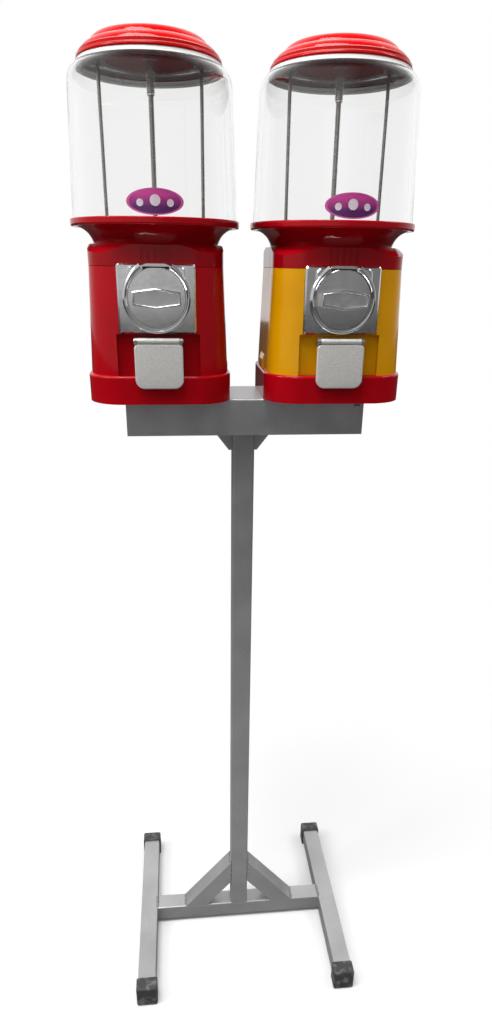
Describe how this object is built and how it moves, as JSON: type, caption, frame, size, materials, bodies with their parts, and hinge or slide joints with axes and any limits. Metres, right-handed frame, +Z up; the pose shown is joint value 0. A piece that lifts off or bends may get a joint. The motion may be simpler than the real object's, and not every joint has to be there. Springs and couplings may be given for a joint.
{
  "type": "twin gumball machine",
  "caption": "Floor-standing twin gumball vending machine: coin heads with clear globes and round lids side by side on a grey welded tube stand.",
  "frame": {"origin": "on the floor under the stand's post, at the middle of the whole object's footprint", "axes": "+X to the viewer's right, -Y out of the front with the coin knobs, +Z up"},
  "size_m": [0.3576, 0.296, 1.1674],
  "materials": {
    "stand_paint": "satin silver-grey paint",
    "cap_plastic": "worn matt",
    "red_paint": "gloss red enamel",
    "yellow_paint": "gloss golden yellow enamel",
    "clear_plastic": "clear moulded",
    "plain_steel": "zinc plated",
    "chrome_plate": "polished plate",
    "lock_brass": "satin",
    "white_plastic": "moulded",
    "chute_metal": "die cast",
    "flap_metal": "hammered die cast"
  },
  "bodies": {
    "stand": {"left_foot_tube": "stand_paint", "right_foot_tube": "stand_paint", "cross_tube": "stand_paint", "post_tube": "stand_paint", "left_brace": "stand_paint", "right_brace": "stand_paint", "head_beam": "stand_paint", "beam_gussets": "stand_paint", "foot_caps": "cap_plastic", "left_base_pan": "red_paint", "left_mounting_bolts": "plain_steel", "left_body_shell": "red_paint", "left_body_collar": "red_paint", "left_hopper": "red_paint", "left_globe": "clear_plastic", "left_rod_bridge": "plain_steel", "left_tie_rods": "plain_steel", "left_centre_rod": "plain_steel", "left_coin_plate": "chrome_plate", "left_coin_housing": "plain_steel", "left_wheel_plate": "plain_steel", "left_brush_plate": "white_plastic", "left_chute": "chute_metal", "left_flap_pin": "plain_steel", "right_base_pan": "red_paint", "right_mounting_bolts": "plain_steel", "right_body_shell": "yellow_paint", "right_body_collar": "red_paint", "right_hopper": "red_paint", "right_globe": "clear_plastic", "right_rod_bridge": "plain_steel", "right_tie_rods": "plain_steel", "right_centre_rod": "plain_steel", "right_coin_plate": "chrome_plate", "right_coin_housing": "plain_steel", "right_wheel_plate": "plain_steel", "right_brush_plate": "white_plastic", "right_chute": "chute_metal", "right_flap_pin": "plain_steel"},
    "left_lid": {"left_lid": "red_paint", "left_lid_lock": "chrome_plate"},
    "left_lock_plug": {"left_lock_plug": "lock_brass"},
    "left_drive": {"left_coin_knob": "chrome_plate", "left_drive_shaft": "plain_steel", "left_coin_wheel": "plain_steel", "left_drive_gear": "plain_steel"},
    "left_rotor": {"left_dispensing_wheel": "white_plastic"},
    "left_pawl": {"left_pawl": "plain_steel"},
    "left_flap": {"left_chute_flap": "flap_metal"},
    "right_lid": {"right_lid": "red_paint", "right_lid_lock": "chrome_plate"},
    "right_lock_plug": {"right_lock_plug": "lock_brass"},
    "right_drive": {"right_coin_knob": "chrome_plate", "right_drive_shaft": "plain_steel", "right_coin_wheel": "plain_steel", "right_drive_gear": "plain_steel"},
    "right_rotor": {"right_dispensing_wheel": "white_plastic"},
    "right_pawl": {"right_pawl": "plain_steel"},
    "right_flap": {"right_chute_flap": "flap_metal"}
  },
  "joints": [
    {"name": "left_lid_lift", "type": "slide", "parent": "stand", "child": "left_lid", "axis": [0, 0, 1], "range_m": [0, 0.12]},
    {"name": "left_lock_turn", "type": "hinge", "parent": "left_lid", "child": "left_lock_plug", "pos_m": [-0.0925, 0, 1.166], "axis": [0, 0, 1], "range_deg": [0, 90]},
    {"name": "left_knob_turn", "type": "hinge", "parent": "stand", "child": "left_drive", "pos_m": [-0.0925, -0.075, 0.9389], "axis": [0, 1, 0], "continuous": true},
    {"name": "left_wheel_turn", "type": "hinge", "parent": "stand", "child": "left_rotor", "pos_m": [-0.0925, 0, 0.956], "axis": [0, 0, 1], "continuous": true},
    {"name": "left_pawl_swing", "type": "hinge", "parent": "stand", "child": "left_pawl", "pos_m": [-0.072, -0.0595, 0.9571], "axis": [0, 1, 0], "range_deg": [0, 5]},
    {"name": "left_flap_swing", "type": "hinge", "parent": "stand", "child": "left_flap", "pos_m": [-0.0925, -0.079, 0.8994], "axis": [-1, 0, 0], "range_deg": [0, 80]},
    {"name": "right_lid_lift", "type": "slide", "parent": "stand", "child": "right_lid", "axis": [0, 0, 1], "range_m": [0, 0.12]},
    {"name": "right_lock_turn", "type": "hinge", "parent": "right_lid", "child": "right_lock_plug", "pos_m": [0.0925, 0, 1.166], "axis": [0, 0, 1], "range_deg": [0, 90]},
    {"name": "right_knob_turn", "type": "hinge", "parent": "stand", "child": "right_drive", "pos_m": [0.0925, -0.075, 0.9389], "axis": [0, 1, 0], "continuous": true},
    {"name": "right_wheel_turn", "type": "hinge", "parent": "stand", "child": "right_rotor", "pos_m": [0.0925, 0, 0.956], "axis": [0, 0, 1], "continuous": true},
    {"name": "right_pawl_swing", "type": "hinge", "parent": "stand", "child": "right_pawl", "pos_m": [0.113, -0.0595, 0.9571], "axis": [0, 1, 0], "range_deg": [0, 5]},
    {"name": "right_flap_swing", "type": "hinge", "parent": "stand", "child": "right_flap", "pos_m": [0.0925, -0.079, 0.8994], "axis": [-1, 0, 0], "range_deg": [0, 80]}
  ],
  "couplings": [
    {"joint": "left_wheel_turn", "follows": "left_knob_turn", "ratio": 0.25},
    {"joint": "right_wheel_turn", "follows": "right_knob_turn", "ratio": 0.25}
  ]
}
